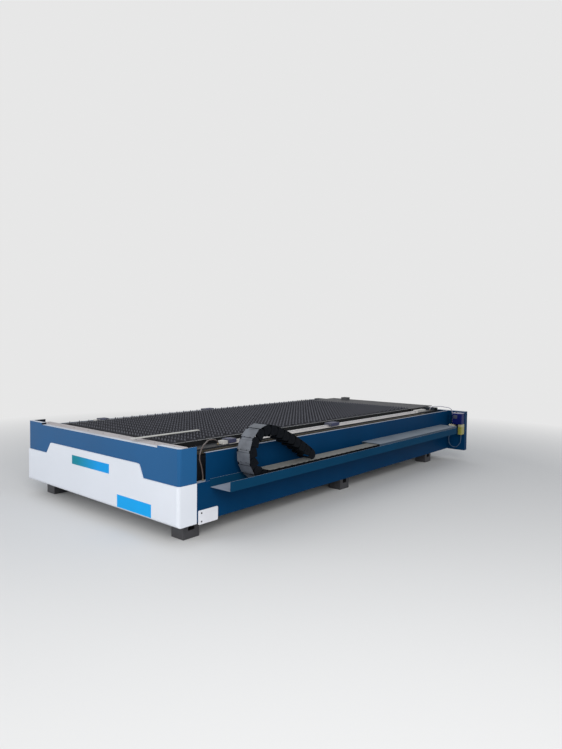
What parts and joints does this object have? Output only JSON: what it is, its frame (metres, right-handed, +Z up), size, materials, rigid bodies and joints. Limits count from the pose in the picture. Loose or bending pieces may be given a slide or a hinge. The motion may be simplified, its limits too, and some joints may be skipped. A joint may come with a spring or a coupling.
{
  "type": "laser cutting machine bed",
  "caption": "Bed of a flat-bed fiber laser cutting machine: saw-edged slat table between linear guides, blue and white sheet covers and a drag chain looping out of its side tray.",
  "frame": {"origin": "on the floor, under the middle of the overall box", "axes": "+Z up, +Y from the front cover towards the rear, +X towards the side that carries the chain tray"},
  "size_m": [2.41, 4.47, 0.8048],
  "materials": {
    "carriage_steel": "satin",
    "blue_paint": "satin powder coat",
    "deck_plate": "dusty flat",
    "frame_paint": "flat primer",
    "chain_plastic": "moulded, dusty",
    "white_paint": "satin powder coat",
    "machined_plate": "milled",
    "hose_nylon": "nylon tube",
    "navy_paint": "satin powder coat",
    "foot_steel": "black oxide",
    "pump_body": "gloss",
    "hose_rubber": "matt",
    "manifold_plastic": "moulded",
    "oil_tank": "translucent oil tank",
    "rack_steel": "oiled",
    "guide_rail": "ground",
    "slat_steel": "mill scale",
    "bracket_paint": "satin",
    "bar_steel": "satin"
  },
  "bodies": {
    "bed": {"chain_tray": "blue_paint", "chain_tray_deck": "deck_plate", "cross_member_1": "frame_paint", "cross_member_2": "frame_paint", "cross_member_3": "frame_paint", "drag_chain_lower_run": "chain_plastic", "front_cover_lower": "white_paint", "front_cover_upper": "blue_paint", "front_end_beam": "frame_paint", "front_rim_plate": "machined_plate", "grease_hose_front": "hose_nylon", "left_side_panel": "navy_paint", "levelling_foot_left_1": "foot_steel", "levelling_foot_left_2": "foot_steel", "levelling_foot_left_3": "foot_steel", "levelling_foot_right_1": "foot_steel", "levelling_foot_right_2": "foot_steel", "levelling_foot_right_3": "foot_steel", "lubricator_pump": "pump_body", "oil_hose_riser": "hose_nylon", "oil_hose_supply": "hose_rubber", "oil_manifold": "manifold_plastic", "oil_reservoir": "oil_tank", "rack_left": "rack_steel", "rack_right": "rack_steel", "rail_left": "guide_rail", "rail_right": "guide_rail", "rear_cover": "navy_paint", "rear_end_beam": "frame_paint", "rear_rim_plate": "machined_plate", "right_lower_panel": "navy_paint", "right_upper_panel": "navy_paint", "scrap_tray_1": "slat_steel", "scrap_tray_2": "slat_steel", "side_beam_left": "frame_paint", "side_beam_right": "frame_paint", "side_bracket_plate": "bracket_paint", "slat_section_1": "slat_steel", "slat_section_2": "slat_steel", "slat_section_3": "slat_steel", "straight_edge_bar": "bar_steel"},
    "chain_link_01": {"drag_chain_link_01": "chain_plastic"},
    "chain_link_02": {"drag_chain_link_02": "chain_plastic"},
    "chain_link_03": {"drag_chain_link_03": "chain_plastic"},
    "chain_link_04": {"drag_chain_link_04": "chain_plastic"},
    "chain_link_05": {"drag_chain_link_05": "chain_plastic"},
    "chain_link_06": {"drag_chain_link_06": "chain_plastic"},
    "chain_link_07": {"drag_chain_link_07": "chain_plastic"},
    "chain_link_08": {"drag_chain_link_08": "chain_plastic"},
    "chain_link_09": {"drag_chain_link_09": "chain_plastic"},
    "chain_link_10": {"drag_chain_link_10": "chain_plastic"},
    "chain_link_11": {"drag_chain_link_11": "chain_plastic"},
    "chain_link_12": {"drag_chain_link_12": "chain_plastic"},
    "chain_link_13": {"drag_chain_link_13": "chain_plastic"},
    "chain_link_14": {"drag_chain_link_14": "chain_plastic"},
    "chain_link_15": {"drag_chain_link_15": "chain_plastic"},
    "carriage_right_1_block": {"carriage_right_1": "carriage_steel"},
    "carriage_right_2_block": {"carriage_right_2": "carriage_steel"},
    "carriage_left_1_block": {"carriage_left_1": "carriage_steel"},
    "carriage_left_2_block": {"carriage_left_2": "carriage_steel"}
  },
  "joints": [
    {"name": "chain_bend_01", "type": "hinge", "parent": "bed", "child": "chain_link_01", "pos_m": [1.115, -1.505, 0.4163], "axis": [-1, 0, 0], "range_deg": [-8, 0]},
    {"name": "chain_bend_02", "type": "hinge", "parent": "chain_link_01", "child": "chain_link_02", "pos_m": [1.115, -1.58224, 0.42716], "axis": [-1, 0, 0], "range_deg": [-27, 0]},
    {"name": "chain_bend_03", "type": "hinge", "parent": "chain_link_02", "child": "chain_link_03", "pos_m": [1.115, -1.64613, 0.47189], "axis": [-1, 0, 0], "range_deg": [-23, 0]},
    {"name": "chain_bend_04", "type": "hinge", "parent": "chain_link_03", "child": "chain_link_04", "pos_m": [1.115, -1.68747, 0.53804], "axis": [-1, 0, 0], "range_deg": [-28, 0]},
    {"name": "chain_bend_05", "type": "hinge", "parent": "chain_link_04", "child": "chain_link_05", "pos_m": [1.115, -1.69291, 0.61585], "axis": [-1, 0, 0], "range_deg": [-23, 0]},
    {"name": "chain_bend_06", "type": "hinge", "parent": "chain_link_05", "child": "chain_link_06", "pos_m": [1.115, -1.66752, 0.6896], "axis": [-1, 0, 0], "range_deg": [-28, 0]},
    {"name": "chain_bend_07", "type": "hinge", "parent": "chain_link_06", "child": "chain_link_07", "pos_m": [1.115, -1.61047, 0.7428], "axis": [-1, 0, 0], "range_deg": [-26, 0]},
    {"name": "chain_bend_08", "type": "hinge", "parent": "chain_link_07", "child": "chain_link_08", "pos_m": [1.115, -1.53588, 0.7656], "axis": [-1, 0, 0], "range_deg": [-28, 0]},
    {"name": "chain_bend_09", "type": "hinge", "parent": "chain_link_08", "child": "chain_link_09", "pos_m": [1.115, -1.45931, 0.75072], "axis": [-1, 0, 0], "range_deg": [-10, 0]},
    {"name": "chain_bend_10", "type": "hinge", "parent": "chain_link_09", "child": "chain_link_10", "pos_m": [1.115, -1.38649, 0.72277], "axis": [-1, 0, 0], "range_deg": [-2.1, 0]},
    {"name": "chain_bend_11", "type": "hinge", "parent": "chain_link_10", "child": "chain_link_11", "pos_m": [1.115, -1.31475, 0.69217], "axis": [-1, 0, 0], "range_deg": [-2.1, 0]},
    {"name": "chain_bend_12", "type": "hinge", "parent": "chain_link_11", "child": "chain_link_12", "pos_m": [1.115, -1.24417, 0.65895], "axis": [-1, 0, 0], "range_deg": [-2.1, 0]},
    {"name": "chain_bend_13", "type": "hinge", "parent": "chain_link_12", "child": "chain_link_13", "pos_m": [1.115, -1.17486, 0.62318], "axis": [-1, 0, 0], "range_deg": [-2.1, 0]},
    {"name": "chain_bend_14", "type": "hinge", "parent": "chain_link_13", "child": "chain_link_14", "pos_m": [1.115, -1.1069, 0.58489], "axis": [-1, 0, 0], "range_deg": [-2.1, 0]},
    {"name": "chain_bend_15", "type": "hinge", "parent": "chain_link_14", "child": "chain_link_15", "pos_m": [1.115, -1.0404, 0.54413], "axis": [-1, 0, 0], "range_deg": [-2.1, 0]},
    {"name": "carriage_right_1_slide", "type": "slide", "parent": "bed", "child": "carriage_right_1_block", "axis": [0, 1, 0], "range_m": [0, 1.29]},
    {"name": "carriage_right_2_slide", "type": "slide", "parent": "bed", "child": "carriage_right_2_block", "axis": [0, 1, 0], "range_m": [-1.29, 1.7045]},
    {"name": "carriage_left_1_slide", "type": "slide", "parent": "bed", "child": "carriage_left_1_block", "axis": [0, 1, 0], "range_m": [0, 1.29]},
    {"name": "carriage_left_2_slide", "type": "slide", "parent": "bed", "child": "carriage_left_2_block", "axis": [0, 1, 0], "range_m": [-1.29, 1.7045]}
  ]
}
